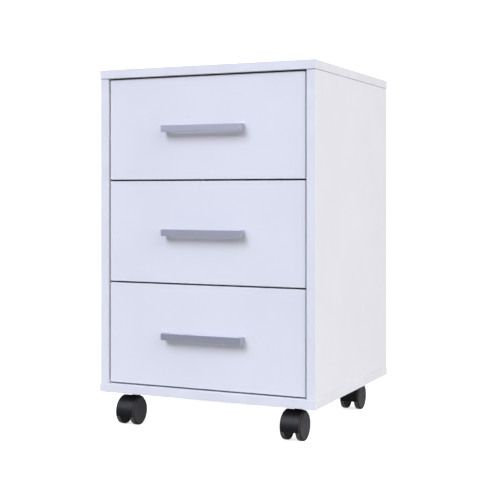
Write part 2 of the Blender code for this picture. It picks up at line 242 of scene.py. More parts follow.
def startMaterial(name, **constants):
    material = bpy.data.materials.new(name)
    material.use_nodes = True
    tree = material.node_tree
    tree.nodes.clear()
    shader = addNode(tree, "ShaderNodeBsdfPrincipled", constants)
    addNode(tree, "ShaderNodeOutputMaterial", {}, {"Surface": (shader, "BSDF")})
    return material, tree, shader


def colourStops(ramp, low, high, start=0.35, end=0.65):
    for stop, code, place in zip(ramp.color_ramp.elements, (low, high), (start, end)):
        stop.position = place
        stop.color = fromHex(code)


def roughRange(look):  # noise keeps mostly between 0.3 and 0.7
    low, high = look["rough"]
    return {"From Min": 0.3, "From Max": 0.7, "To Min": low, "To Max": high}


def bumpDepth(look):
    strength, depthMm = look["bump"]
    return {"Strength": strength, "Distance": depthMm * mm}


def connect(tree, shader, **sources):
    names = {"colour": "Base Color", "roughness": "Roughness", "normal": "Normal"}
    for key, (node, output) in sources.items():
        tree.links.new(node.outputs[output], shader.inputs[names[key]])


# melamine-faced particleboard, pressed against a textured steel plate: white satin with a faint pearl grain
melamineLook = {
    "low": "e4e6ec",
    "high": "e7e9ef",
    "toneMm": 140,
    "pearlMm": 2.6,
    "rough": (0.36, 0.46),
    "bump": (0.12, 0.05),
}


def makeMelamine():
    look = melamineLook
    material, tree, shader = startMaterial("melamineFacedBoard", IOR=1.52)
    where = addNode(tree, "ShaderNodeTexCoord")
    cloud = addNode(
        tree,
        "ShaderNodeTexNoise",
        {"Scale": 1000 / look["toneMm"], "Detail": 2.0},
        {"Vector": (where, "Object")},
    )
    tone = addNode(tree, "ShaderNodeValToRGB", {}, {"Fac": (cloud, "Fac")})
    colourStops(tone, look["low"], look["high"])
    # the real pearl is about 0.4 mm across, drawn coarser so that it shows
    pearl = addNode(
        tree,
        "ShaderNodeTexNoise",
        {"Scale": 1000 / look["pearlMm"], "Detail": 2.5, "Roughness": 0.55},
        {"Vector": (where, "Object")},
    )
    sheen = addNode(tree, "ShaderNodeMapRange", roughRange(look), {"Value": (pearl, "Fac")})
    bump = addNode(tree, "ShaderNodeBump", bumpDepth(look), {"Height": (pearl, "Fac")})
    connect(tree, shader, colour=(tone, "Color"), roughness=(sheen, "Result"), normal=(bump, "Normal"))
    return material


# ABS edging, extruded in a strip and milled flush: a touch smoother than the board,
# with a faint ripple left by the cutter
edgingLook = {
    "low": "e4e6ec",
    "high": "e8eaf0",
    "toneMm": 45,
    "rippleMm": 1.4,
    "rough": (0.28, 0.38),
    "bump": (0.08, 0.03),
}


def makeEdging():
    look = edgingLook
    material, tree, shader = startMaterial("whiteAbsEdging", IOR=1.54)
    where = addNode(tree, "ShaderNodeTexCoord")
    cloud = addNode(
        tree,
        "ShaderNodeTexNoise",
        {"Scale": 1000 / look["toneMm"], "Detail": 1.0},
        {"Vector": (where, "Object")},
    )
    tone = addNode(tree, "ShaderNodeValToRGB", {}, {"Fac": (cloud, "Fac")})
    colourStops(tone, look["low"], look["high"])
    ripple = addNode(
        tree,
        "ShaderNodeTexNoise",
        {"Scale": 1000 / look["rippleMm"], "Detail": 1.5},
        {"Vector": (where, "Object")},
    )
    sheen = addNode(tree, "ShaderNodeMapRange", roughRange(look), {"Value": (ripple, "Fac")})
    bump = addNode(tree, "ShaderNodeBump", bumpDepth(look), {"Height": (ripple, "Fac")})
    connect(tree, shader, colour=(tone, "Color"), roughness=(sheen, "Result"), normal=(bump, "Normal"))
    return material


# hardboard, pressed from wood fibre and roller-lacquered white: matt, with the fibres
# showing through as a soft pebble, coarser than real so that it shows
hardboardLook = {
    "low": "d8d9de",
    "high": "e2e3e7",
    "fleckMm": 5,
    "fibreMm": 1.3,
    "rough": (0.52, 0.68),
    "bump": (0.3, 0.1),
}


def makeHardboard():
    look = hardboardLook
    material, tree, shader = startMaterial("whiteLacqueredHardboard", IOR=1.49)
    where = addNode(tree, "ShaderNodeTexCoord")
    fleck = addNode(
        tree,
        "ShaderNodeTexNoise",
        {"Scale": 1000 / look["fleckMm"], "Detail": 5.0, "Roughness": 0.65},
        {"Vector": (where, "Object")},
    )
    tone = addNode(tree, "ShaderNodeValToRGB", {}, {"Fac": (fleck, "Fac")})
    colourStops(tone, look["low"], look["high"], 0.3, 0.6)
    fibre = addNode(
        tree,
        "ShaderNodeTexNoise",
        {"Scale": 1000 / look["fibreMm"], "Detail": 4.0, "Roughness": 0.6, "Distortion": 0.6},
        {"Vector": (where, "Object")},
    )
    sheen = addNode(tree, "ShaderNodeMapRange", roughRange(look), {"Value": (fibre, "Fac")})
    bump = addNode(tree, "ShaderNodeBump", bumpDepth(look), {"Height": (fibre, "Fac")})
    connect(tree, shader, colour=(tone, "Color"), roughness=(sheen, "Result"), normal=(bump, "Normal"))
    return material


# anodised aluminium, extruded and brushed lengthways before anodising: silver-grey, with streaks along X
# (real brush lines are near 0.05 mm apart, drawn coarser so that they show)
aluminiumLook = {
    "low": "cacbd7",
    "high": "d6d8e2",
    "streakMm": (60, 0.5),
    "rough": (0.42, 0.52),
    "bump": (0.1, 0.02),
}


def makeAluminium():
    look = aluminiumLook
    material, tree, shader = startMaterial("satinAnodisedAluminium", Metallic=1.0)
    where = addNode(tree, "ShaderNodeTexCoord")
    along, across = (1000 / size for size in look["streakMm"])
    stretched = addNode(
        tree,
        "ShaderNodeMapping",
        {"Scale": (along, across, across)},
        {"Vector": (where, "Object")},
    )
    brushed = addNode(
        tree,
        "ShaderNodeTexNoise",
        {"Scale": 1.0, "Detail": 4.0, "Roughness": 0.65},
        {"Vector": (stretched, "Vector")},
    )
    tone = addNode(tree, "ShaderNodeValToRGB", {}, {"Fac": (brushed, "Fac")})
    colourStops(tone, look["low"], look["high"])
    sheen = addNode(tree, "ShaderNodeMapRange", roughRange(look), {"Value": (brushed, "Fac")})
    bump = addNode(tree, "ShaderNodeBump", bumpDepth(look), {"Height": (brushed, "Fac")})
    connect(tree, shader, colour=(tone, "Color"), roughness=(sheen, "Result"), normal=(bump, "Normal"))
    return material


# zinc-plated steel, roll-formed or stamped from strip: pale blue-grey, with soft drawing
# lines and a little mottle
# (the lines are coarser than real ones, so that they show)
zincLook = {
    "low": "a9adb4",
    "high": "c3c7cc",
    "mottleMm": 6,
    "drawMm": (70, 0.8),
    "rough": (0.36, 0.46),
    "bump": (0.05, 0.02),
}


def makeZinc():
    look = zincLook
    material, tree, shader = startMaterial("zincPlatedSteel", Metallic=1.0)
    where = addNode(tree, "ShaderNodeTexCoord")
    mottle = addNode(
        tree,
        "ShaderNodeTexNoise",
        {"Scale": 1000 / look["mottleMm"], "Detail": 3.0, "Roughness": 0.6},
        {"Vector": (where, "Object")},
    )
    tone = addNode(tree, "ShaderNodeValToRGB", {}, {"Fac": (mottle, "Fac")})
    colourStops(tone, look["low"], look["high"])
    along, across = (1000 / size for size in look["drawMm"])
    stretched = addNode(
        tree,
        "ShaderNodeMapping",
        {"Scale": (across, along, across)},
        {"Vector": (where, "Object")},
    )
    drawn = addNode(
        tree,
        "ShaderNodeTexNoise",
        {"Scale": 1.0, "Detail": 3.0},
        {"Vector": (stretched, "Vector")},
    )
    sheen = addNode(tree, "ShaderNodeMapRange", roughRange(look), {"Value": (mottle, "Fac")})
    bump = addNode(tree, "ShaderNodeBump", bumpDepth(look), {"Height": (drawn, "Fac")})
    connect(tree, shader, colour=(tone, "Color"), roughness=(sheen, "Result"), normal=(bump, "Normal"))
    return material


# bearing steel, ground and polished: bright and almost clean, with only a trace of oil film
bearingLook = {"low": "b9bbc0", "high": "d2d4d8", "filmMm": 3, "rough": (0.10, 0.20)}


def makeBearingSteel():
    look = bearingLook
    material, tree, shader = startMaterial("polishedBearingSteel", Metallic=1.0)
    where = addNode(tree, "ShaderNodeTexCoord")
    film = addNode(
        tree,
        "ShaderNodeTexNoise",
        {"Scale": 1000 / look["filmMm"], "Detail": 2.0},
        {"Vector": (where, "Object")},
    )
    tone = addNode(tree, "ShaderNodeValToRGB", {}, {"Fac": (film, "Fac")})
    colourStops(tone, look["low"], look["high"])
    sheen = addNode(tree, "ShaderNodeMapRange", roughRange(look), {"Value": (film, "Fac")})
    connect(tree, shader, colour=(tone, "Color"), roughness=(sheen, "Result"))
    return material


# polyamide 6 moulded in a spark-eroded tool: near-black, satin, with an even fine stipple
nylonLook = {
    "low": "09090b",
    "high": "0e0e10",
    "toneMm": 9,
    "stippleMm": 0.7,
    "rough": (0.46, 0.58),
    "bump": (0.2, 0.04),
}


def makeNylon():
    look = nylonLook
    material, tree, shader = startMaterial("blackMouldedNylon", IOR=1.43)
    where = addNode(tree, "ShaderNodeTexCoord")
    cloud = addNode(
        tree,
        "ShaderNodeTexNoise",
        {"Scale": 1000 / look["toneMm"], "Detail": 3.0},
        {"Vector": (where, "Object")},
    )
    tone = addNode(tree, "ShaderNodeValToRGB", {}, {"Fac": (cloud, "Fac")})
    colourStops(tone, look["low"], look["high"])
    # spark erosion leaves pits near 0.05 mm, drawn coarser so that they show
    stipple = addNode(
        tree,
        "ShaderNodeTexNoise",
        {"Scale": 1000 / look["stippleMm"], "Detail": 2.0, "Roughness": 0.6},
        {"Vector": (where, "Object")},
    )
    sheen = addNode(tree, "ShaderNodeMapRange", roughRange(look), {"Value": (stipple, "Fac")})
    bump = addNode(tree, "ShaderNodeBump", bumpDepth(look), {"Height": (stipple, "Fac")})
    connect(tree, shader, colour=(tone, "Color"), roughness=(sheen, "Result"), normal=(bump, "Normal"))
    return material


# the wheels' caps, the same nylon from a smoother tool: painted a little greyer than the hood, a painted
# reflection of the light they catch side-on
# (its stipple is coarser than real too)
capPaintedReflectionLook = {
    "low": "3b3b3f",
    "high": "424246",
    "toneMm": 14,
    "stippleMm": 0.9,
    "rough": (0.44, 0.56),
    "bump": (0.15, 0.03),
}


def makeCapPaintedReflection():
    look = capPaintedReflectionLook
    material, tree, shader = startMaterial("capNylonPaintedReflection", IOR=1.53)
    where = addNode(tree, "ShaderNodeTexCoord")
    cloud = addNode(
        tree,
        "ShaderNodeTexNoise",
        {"Scale": 1000 / look["toneMm"], "Detail": 2.0},
        {"Vector": (where, "Object")},
    )
    tone = addNode(tree, "ShaderNodeValToRGB", {}, {"Fac": (cloud, "Fac")})
    colourStops(tone, look["low"], look["high"])
    stipple = addNode(
        tree,
        "ShaderNodeTexNoise",
        {"Scale": 1000 / look["stippleMm"], "Detail": 2.0},
        {"Vector": (where, "Object")},
    )
    sheen = addNode(tree, "ShaderNodeMapRange", roughRange(look), {"Value": (stipple, "Fac")})
    bump = addNode(tree, "ShaderNodeBump", bumpDepth(look), {"Height": (stipple, "Fac")})
    connect(tree, shader, colour=(tone, "Color"), roughness=(sheen, "Result"), normal=(bump, "Normal"))
    return material


# the wheels' nylon, moulded like the hood's: painted lighter and a little brown as painted bounce light
# from the floor, in soft patches
# (its grain, and the tyre's, are coarser than real, so that they show)
wheelPaintedBounceLook = {
    "low": "24211f",
    "high": "322e2b",
    "scuffMm": 7,
    "grainMm": 0.7,
    "rough": (0.50, 0.64),
    "bump": (0.25, 0.05),
}
# the polyurethane tyre let into each wheel and scuffed by the floor: the dullest and brownest of the
# blacks, its brown partly its own and partly painted bounce light from the floor
treadPaintedBounceLook = {
    "low": "544e49",
    "high": "716962",
    "scuffMm": 4,
    "grainMm": 0.6,
    "rough": (0.55, 0.75),
    "bump": (0.25, 0.05),
}


# a black moulding painted lighter and browner than its own colour as painted bounce light from the floor,
# with random patches and a fine grain
def makePaintedBounceBlack(name, look):
    material, tree, shader = startMaterial(name, IOR=1.5)
    where = addNode(tree, "ShaderNodeTexCoord")
    scuff = addNode(
        tree,
        "ShaderNodeTexNoise",
        {"Scale": 1000 / look["scuffMm"], "Detail": 5.0, "Roughness": 0.65},
        {"Vector": (where, "Object")},
    )
    tone = addNode(tree, "ShaderNodeValToRGB", {}, {"Fac": (scuff, "Fac")})
    colourStops(tone, look["low"], look["high"], 0.38, 0.72)
    grain = addNode(
        tree,
        "ShaderNodeTexNoise",
        {"Scale": 1000 / look["grainMm"], "Detail": 3.0},
        {"Vector": (where, "Object")},
    )
    sheen = addNode(tree, "ShaderNodeMapRange", roughRange(look), {"Value": (scuff, "Fac")})
    bump = addNode(tree, "ShaderNodeBump", bumpDepth(look), {"Height": (grain, "Fac")})
    connect(tree, shader, colour=(tone, "Color"), roughness=(sheen, "Result"), normal=(bump, "Normal"))
    return material


melamine = makeMelamine()
edging = makeEdging()
hardboard = makeHardboard()
aluminium = makeAluminium()
zinc = makeZinc()
bearingSteel = makeBearingSteel()
nylon = makeNylon()
capPaintedReflectionNylon = makeCapPaintedReflection()
wheelNylonPaintedBounce = makePaintedBounceBlack("mouldedNylonPaintedBounce", wheelPaintedBounceLook)
tread = makePaintedBounceBlack("scuffedPolyurethanePaintedBounce", treadPaintedBounceLook)
print("materials made")


# boards: a melamine-faced core with ABS edging on the edges that show
board = {
    "edgingMm": 0.8,
    "arrisMm": 0.5,  # rounding of the edging's outer edges
    "sheetArrisMm": 0.25,  # rounding of the thin hardboard
    "seamMm": 0.1,  # chamfer of the core beside the edging, which draws the fine joint line
}


def trimmedBounds(low, high, edges):
    low, high = list(low), list(high)
    for axis, side in edges:
        if side < 0:
            low[axis] += board["edgingMm"] * mm
        else:
            high[axis] -= board["edgingMm"] * mm
    return low, high


def makeCore(node, body, edges):
    low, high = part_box(node)
    core = addBox(node + "_core", *trimmedBounds(low, high, edges))
    roundSharp(core, board["seamMm"] * mm, 1)
    return finishPiece(core, body, "white_board", melamine, node)


def makeEdgingRing(node, body, thin):  # edging all round a board whose faces look along the axis thin
    low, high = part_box(node)
    ring = addBox(node + "_edging", low, high)
    startEdit(ring)
    pick(ring, "faces", lambda face: abs(face.normal[thin]) > 0.9)
    bpy.ops.mesh.inset(thickness=board["edgingMm"] * mm, use_individual=True)
    bpy.ops.mesh.bridge_edge_loops()
    endEdit()

    def onOutside(edge):
        spot = middle(edge)
        return sum(on(spot[i], low[i]) or on(spot[i], high[i]) for i in range(3)) > 1

    roundEdges(ring, board["arrisMm"] * mm, 3, onOutside)
    smooth(ring)
    return finishPiece(ring, body, "white_board", edging, node)


def makeEdgingStrip(node, name, body, axis, side):  # edging on one edge of a board
    low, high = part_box(node)
    outer = low[axis] if side < 0 else high[axis]
    inner = outer - side * board["edgingMm"] * mm
    start, end = list(low), list(high)
    start[axis], end[axis] = min(outer, inner), max(outer, inner)
    strip = addBox(name, start, end)
    roundEdges(strip, board["arrisMm"] * mm, 3, lambda edge: on(middle(edge)[axis], outer))
    smooth(strip)
    return finishPiece(strip, body, "white_board", edging, node)


groove = {"depthMm": 6, "widthMm": 3.6}
allAroundZ = [(0, -1), (0, 1), (1, -1), (1, 1)]
allAroundY = [(0, -1), (0, 1), (2, -1), (2, 1)]

backLow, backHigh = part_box("back_panel")
backMiddle = (backLow.y + backHigh.y) / 2
slotFront = backMiddle - groove["widthMm"] * mm / 2
slotBack = backMiddle + groove["widthMm"] * mm / 2
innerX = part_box("right_side_panel")[0].x
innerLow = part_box("bottom_panel")[1].z
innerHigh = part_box("top_panel")[0].z
depth = groove["depthMm"] * mm

for node, lowZ, highZ in (
    ("top_panel", innerHigh - past, innerHigh + depth),
    ("bottom_panel", innerLow - depth, innerLow + past),
):
    core = makeCore(node, "cabinet", allAroundZ)
    cutBox(core, (-innerX - depth, slotFront, lowZ), (innerX + depth, slotBack, highZ))
    makeEdgingRing(node, "cabinet", 2)

for word, side in sides:
    node = word + "_side_panel"
    core = makeCore(node, "cabinet", [(1, -1)])
    near, far = side * (innerX - past), side * (innerX + depth)
    cutBox(core, (min(near, far), slotFront, 0), (max(near, far), slotBack, 1))
    makeEdgingStrip(node, node + "_edging", "cabinet", 1, -1)

backPanel = addBox("back_panel_sheet", backLow, backHigh)
roundSharp(backPanel, board["sheetArrisMm"] * mm, 1)
finishPiece(backPanel, "cabinet", "white_hardboard", hardboard, "back_panel")
print("carcass made")


# drawer fronts and boxes
drawerBox = {"edgeMm": 0.8, "clearMm": 0.3}
clear = drawerBox["clearMm"] * mm

for drawer in drawers:
    body = drawer + "_drawer"
    front = body + "_front"
    bottomLow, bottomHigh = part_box(body + "_bottom")
    core = makeCore(front, body, allAroundY)
    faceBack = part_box(front)[1].y
    cutBox(
        core,
        (bottomLow.x - clear, faceBack - depth, bottomLow.z - clear),
        (bottomHigh.x + clear, faceBack + past, bottomHigh.z + clear),
    )
    makeEdgingRing(front, body, 1)
    for word, side in sides:
        node = body + "_" + word + "_side"
        low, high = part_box(node)
        panel = addBox(node + "_board", low, high)
        roundEdges(panel, drawerBox["edgeMm"] * mm, 3, lambda edge: on(middle(edge).z, high.z))
        inside = low.x if side > 0 else high.x
        near, far = inside - side * past, inside + side * depth
        cutBox(
            panel,
            (min(near, far), low.y - past, bottomLow.z - clear),
            (max(near, far), high.y + past, bottomHigh.z + clear),
        )
        smooth(panel)
        finishPiece(panel, body, "white_board", melamine, node)
    low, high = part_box(body + "_back")
    panel = addBox(body + "_back_board", low, high)
    roundEdges(panel, drawerBox["edgeMm"] * mm, 3, lambda edge: on(middle(edge).z, high.z))
    smooth(panel)
    finishPiece(panel, body, "white_board", melamine, body + "_back")
    sheet = addBox(body + "_bottom_sheet", bottomLow, bottomHigh)
    roundSharp(sheet, board["sheetArrisMm"] * mm, 1)
    finishPiece(sheet, body, "white_hardboard", hardboard, body + "_bottom")
print("drawers made")


# handles: one flat bar with a foot bent back at each end
handle = {
    "barMm": 5.5,
    "legMm": 8,
    "footMm": 6.4,  # height of the foot where it meets the drawer front
    "shoulderMm": 1,  # how far behind the bar the underside starts to rise
    "arrisMm": 0.35,
}


def makeHandle(node):
    low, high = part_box(node)
    barBack = low.y + handle["barMm"] * mm
    legX = high.x - handle["legMm"] * mm
    bar = addBox(node + "_bar", low, (high.x, barBack, high.z))
    startEdit(bar)
    for x in (-legX, legX):
        bpy.ops.mesh.select_all(action="SELECT")
        bpy.ops.mesh.bisect(plane_co=(x, 0, 0), plane_no=(1, 0, 0))
    pick(bar, "faces", lambda face: face.normal.y > 0.9 and abs(middle(face).x) > legX)
    bpy.ops.mesh.extrude_region_move(TRANSFORM_OT_translate={"value": (0, handle["shoulderMm"] * mm, 0)})
    reach = high.y - barBack - handle["shoulderMm"] * mm
    bpy.ops.mesh.extrude_region_move(TRANSFORM_OT_translate={"value": (0, reach, 0)})
    pick(bar, "verts", lambda vert: on(vert.co.y, high.y) and on(vert.co.z, low.z))
    bpy.ops.transform.translate(value=(0, 0, high.z - low.z - handle["footMm"] * mm))
    endEdit()
    roundSharp(bar, handle["arrisMm"] * mm, 3, 12)
    smooth(bar)
    return bar


for drawer in drawers:
    node = drawer + "_drawer_handle"
    finishPiece(makeHandle(node), drawer + "_drawer", "satin_metal", aluminium, node)
print("handles made")


# slides: three roll-formed rails in each, with ball cages between them and screws through the webs
slide = {
    "sheetMm": 1.2,
    "bendMm": 1.8,
    "ballMm": 2.6,
    "cageStartMm": 5,
    "cageLengthMm": 90,
    "ballEveryMm": 7,
    "cageSheetMm": 0.5,
    "cageHalfWidthMm": 1.6,
    "cageArrisMm": 0.15,
    "cageInMm": 4.5,  # from the cabinet rail's web to the outer cage
    "cageStepMm": 1.5,  # from the outer cage to the inner one
    "cabinetHoles": [(110, 3.2), (240, 3.2)],  # along the rail and radius, in mm
    "middleHoles": [(30, 4), (175, 4), (320, 4)],
    "drawerHoles": [(64, 3), (200, 3)],
    "drawerScrewsMm": (30, 190, 330),
}


def makeRail(node, body, webSide, holes):  # webSide is the side of X that the web is on
    low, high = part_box(node)
    rail = addBox(node + "_rolled", low, high)
    startEdit(rail)
    pick(rail, "faces", lambda face: face.normal.x * webSide < -0.9 or abs(face.normal.y) > 0.9)
    bpy.ops.mesh.delete(type="FACE")
    bpy.ops.mesh.select_mode(type="EDGE")
    webX = high.x if webSide > 0 else low.x
    pick(
        rail,
        "edges",
        lambda edge: on(middle(edge).x, webX) and not on(edge.verts[0].co.y, edge.verts[1].co.y),
    )
    bpy.ops.mesh.bevel(offset=slide["bendMm"] * mm, segments=4, affect="EDGES")
    endEdit()
    makeActive(rail)
    sheet = rail.modifiers.new("sheet", "SOLIDIFY")
    sheet.thickness = slide["sheetMm"] * mm
    sheet.offset = -1
    sheet.use_even_offset = True
    bpy.ops.object.modifier_apply(modifier=sheet.name)
    middleZ = (low.z + high.z) / 2
    for alongMm, radiusMm in holes:
        y = low.y + alongMm * mm
        cutRod(rail, radiusMm * mm, (webX - 3 * mm, y, middleZ), (webX + 3 * mm, y, middleZ), 24)
    smooth(rail, 30)
    return finishPiece(rail, body, "zinc_steel", zinc, node)


def makeBallSeed():  # a cube subdivided and pulled out to a sphere, so its faces stay even
    ball = addBox("ball_seed", (-mm, -mm, -mm), (mm, mm, mm))
    startEdit(ball)
    bpy.ops.mesh.select_all(action="SELECT")
    bpy.ops.mesh.subdivide(number_cuts=2)
    bpy.ops.transform.tosphere(value=1)
    endEdit()
    size = slide["ballMm"] * mm / max(ball.dimensions)
    ball.scale = (size, size, size)
    settle(ball)
    bpy.ops.object.shade_smooth()
    return ball


def makeCage(name, x, lowZ, highZ, start):  # two rows of balls, each row carried by a strip
    cageStart = start + slide["cageStartMm"] * mm
    cageEnd = cageStart + slide["cageLengthMm"] * mm
    half = slide["cageSheetMm"] * mm / 2
    wide = slide["cageHalfWidthMm"] * mm
    lower = addBox(name, (x - wide, cageStart, lowZ - half), (x + wide, cageEnd, lowZ + half))
    upper = addBox(name + "_top", (x - wide, cageStart, highZ - half), (x + wide, cageEnd, highZ + half))
    strip = joinAll(name, [lower, upper])
    roundSharp(strip, slide["cageArrisMm"] * mm, 1)
    balls = []
    count = int(slide["cageLengthMm"] / slide["ballEveryMm"])
    for z in (lowZ, highZ):
        for index in range(count):
            y = cageStart + (index + 0.5) * slide["ballEveryMm"] * mm
            balls.append(copyPiece(ballSeed, name + "_ball", (x, y, z)))
    return strip, joinAll(name + "_balls", balls)


screw = {
    "headMm": 7.4,
    "heightMm": 1.8,
    "domeShare": 0.62,
    "crossMm": 3.6,
    "crossWideMm": 0.9,
    "crossDeepMm": 1.1,
}


def makeScrewHead(name):  # a pan head with a cross recess, pointing along +Z from the origin
    height = screw["heightMm"] * mm
    head = addRod(name, screw["headMm"] * mm / 2, (0, 0, 0), (0, 0, height), 32)
    roundEdges(
        head,
        height * screw["domeShare"],
        4,
        lambda edge: all(on(vert.co.z, height) for vert in edge.verts),
    )
    long, wide = screw["crossMm"] * mm / 2, screw["crossWideMm"] * mm / 2
    floor = height - screw["crossDeepMm"] * mm
    cutBox(head, (-long, -wide, floor), (long, wide, height * 2))
    cutBox(head, (-wide, -long, floor), (wide, long, height * 2))
    smooth(head, 30)
    return head


cam = {
    "headMm": 12,
    "heightMm": 0.5,
    "seatMm": 1,  # how far the disc goes into the board
    "arrisMm": 0.3,
    "rimMm": 0.7,
    "dishMm": 0.3,
    "slotMm": 6.4,
    "slotWideMm": 1.5,
    "slotFloorMm": 0.8,
}


def makeCamHead(name):  # the turning disc of a cam fitting, almost flush with its board
    height = cam["heightMm"] * mm
    head = addRod(name, cam["headMm"] * mm / 2, (0, 0, -cam["seatMm"] * mm), (0, 0, height), 40)
    roundEdges(head, cam["arrisMm"] * mm, 2, lambda edge: all(on(vert.co.z, height) for vert in edge.verts))
    startEdit(head)
    pick(head, "faces", lambda face: face.normal.z > 0.9 and len(face.verts) > 8)
    bpy.ops.mesh.inset(thickness=cam["rimMm"] * mm)
    bpy.ops.mesh.extrude_region_move(TRANSFORM_OT_translate={"value": (0, 0, -cam["dishMm"] * mm)})
    endEdit()
    long, wide = cam["slotMm"] * mm / 2, cam["slotWideMm"] * mm / 2
    floor = -cam["slotFloorMm"] * mm
    cutBox(head, (-long, -wide, floor), (long, wide, past))
    cutBox(head, (-wide, -long, floor), (wide, long, past))
    smooth(head, 30)
    return head


faceAlong = {
    "-x": (0, math.radians(-90), 0),
    "+x": (0, math.radians(90), 0),
    "-y": (math.radians(90), 0, 0),
    "+y": (math.radians(-90), 0, 0),
    "-z": (math.radians(180), 0, 0),
}
ballSeed = makeBallSeed()
screwSeed = makeScrewHead("screw_seed")
camSeed = makeCamHead("cam_seed")


def placeHead(seed, name, body, place, direction, slot="zinc_steel"):
    return finishPiece(copyPiece(seed, name, place, faceAlong[direction]), body, slot, zinc)


for drawer in drawers:
    body = drawer + "_drawer"
    runner = drawer + "_drawer_runner"
    for word, side in sides:
        stem = drawer + "_" + word + "_slide_"
        outerLow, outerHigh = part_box(stem + "cabinet_rail")
        middleLow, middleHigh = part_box(stem + "middle_rail")
        drawerLow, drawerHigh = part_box(stem + "drawer_rail")
        makeRail(stem + "cabinet_rail", "cabinet", side, slide["cabinetHoles"])
        makeRail(stem + "middle_rail", runner, side, slide["middleHoles"])
        makeRail(stem + "drawer_rail", body, -side, slide["drawerHoles"])
        sheet = slide["sheetMm"] * mm
        outward = "+x" if side > 0 else "-x"
        webFace = (outerHigh.x if side > 0 else outerLow.x) - side * sheet
        z = (outerLow.z + outerHigh.z) / 2
        drawerWeb = (drawerLow.x if side > 0 else drawerHigh.x) + side * sheet
        for index, alongMm in enumerate(slide["drawerScrewsMm"]):
            y = drawerLow.y + alongMm * mm
            placeHead(screwSeed, stem + "drawer_screw_" + str(index + 1), body, (drawerWeb, y, z), outward)
        gap = (middleLow.z - outerLow.z - sheet) / 2
        cageX = side * (abs(webFace) - slide["cageInMm"] * mm)
        innerCageX = cageX - side * slide["cageStepMm"] * mm
        for cage, rides, x, low, high in (
            ("outer_cage", "cabinet", cageX, outerLow.z, outerHigh.z),
            ("inner_cage", runner, innerCageX, middleLow.z, middleHigh.z),
        ):
            strip, balls = makeCage(stem + cage, x, low + sheet + gap, high - sheet - gap, outerLow.y)
            finishPiece(strip, rides, "zinc_steel", zinc)
            finishPiece(balls, rides, "zinc_steel", bearingSteel)
print("slides made")


# fittings: handle screws inside the fronts, cams in the drawer sides and the cabinet sides
fitting = {
    "camFromEndMm": 24,
    "camHeightsMm": (32, 92),
    "cabinetCamMm": 30,
    "cabinetCamDepthsMm": (50, 340),
}

for drawer in drawers:
    body = drawer + "_drawer"
    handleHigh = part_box(body + "_handle")[1]
    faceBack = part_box(body + "_front")[1].y
    footX = handleHigh.x - handle["legMm"] * mm / 2
    footZ = handleHigh.z - handle["footMm"] * mm / 2
    for word, side in sides:
        placeHead(
            screwSeed,
            body + "_handle_" + word + "_screw",
            body,
            (side * footX, faceBack, footZ),
            "+y",
        )
        low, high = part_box(body + "_" + word + "_side")
        insideX = low.x if side > 0 else high.x
        inward = "-x" if side > 0 else "+x"
        for index, heightMm in enumerate(fitting["camHeightsMm"]):
            place = (insideX, low.y + fitting["camFromEndMm"] * mm, low.z + heightMm * mm)
            placeHead(camSeed, body + "_" + word + "_cam_" + str(index + 1), body, place, inward)

for word, side in sides:
    low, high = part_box(word + "_side_panel")
    insideX = side * innerX
    inward = "-x" if side > 0 else "+x"
    for depthIndex, alongMm in enumerate(fitting["cabinetCamDepthsMm"]):
        for levelIndex, z in enumerate(
            (low.z + fitting["cabinetCamMm"] * mm, high.z - fitting["cabinetCamMm"] * mm),
        ):
            name = word + "_side_cam_" + str(2 * depthIndex + levelIndex + 1)
            placeHead(camSeed, name, "cabinet", (insideX, low.y + alongMm * mm, z), inward)
print("fittings made")


# casters: a plate with a race and kingpin, a moulded hood with its boss and arm, and two
# dished wheels with tyres and caps on a steel pin
caster = {
    "plateCornerMm": 4,
    "plateMm": 2.5,
    "plateArrisMm": 0.3,
    "raceMm": 12,
    "raceDeepMm": 2,
    "raceArrisMm": 0.9,
    "pinMm": 4,
    "pinArrisMm": 0.6,
    "pinClearMm": 0.3,
    "pinBoreMm": 26,
    "screwOffsetMm": 14.5,
    "trailMm": 17.5,
    "hoodSheetMm": 1.5,
    "hoodHalfWidthMm": 16,
    "hoodInnerMm": 25.8,
    "hoodFrontMm": 18,  # height of the front lip above the floor
    "hoodRearMm": 17,  # reach behind the axle
    "hoodSteps": 44,
    "lipMm": 0.4,
    "bossMm": 7.5,
    "bossArrisMm": 0.8,
    "bossFloorMm": 4.2,  # what is left round the bores
    "armMm": 12,
    "armArrisMm": 2.4,
    "ribReach": 0.6,  # shares of the hood's inner radius
    "ribTop": 0.79,
    "axleMm": 3,
    "axleHalfLengthMm": 15.9,
    "axleArrisMm": 0.4,
}
wheel = {
    "widthMm": 10,
    "rimMm": 3,
    "dishMm": 1.5,  # how deep the inner face is dished between rim and hub
    "dishSlopeMm": 0.6,
    "hubSlopeMm": 1.5,
    "wallMm": 2.5,  # what is left beyond the blind bore
    "arrisMm": 2,
    "hubMm": 6.5,
    "hubEndMm": 6.6,  # from the caster's middle
    "boreMm": 3.3,
    "tyreMm": 0.9,  # thickness of the ring let into the running face
    "tyreArrisMm": 0.15,
    "jointMm": 0.1,
}
cap = {
    "radiusMm": 22.6,
    "gapMm": 0.25,  # between the cap and the wheel's rim
    "seatMm": 1.2,  # depth of the seat in the wheel
    "backMm": 1.15,  # from the wheel's outer face to the cap's back and to its front
    "frontMm": 0.15,
    "arrisMm": 0.6,
    "borderMm": 3,
    "slopeMm": 9,
    "dishMm": 0.12,
}


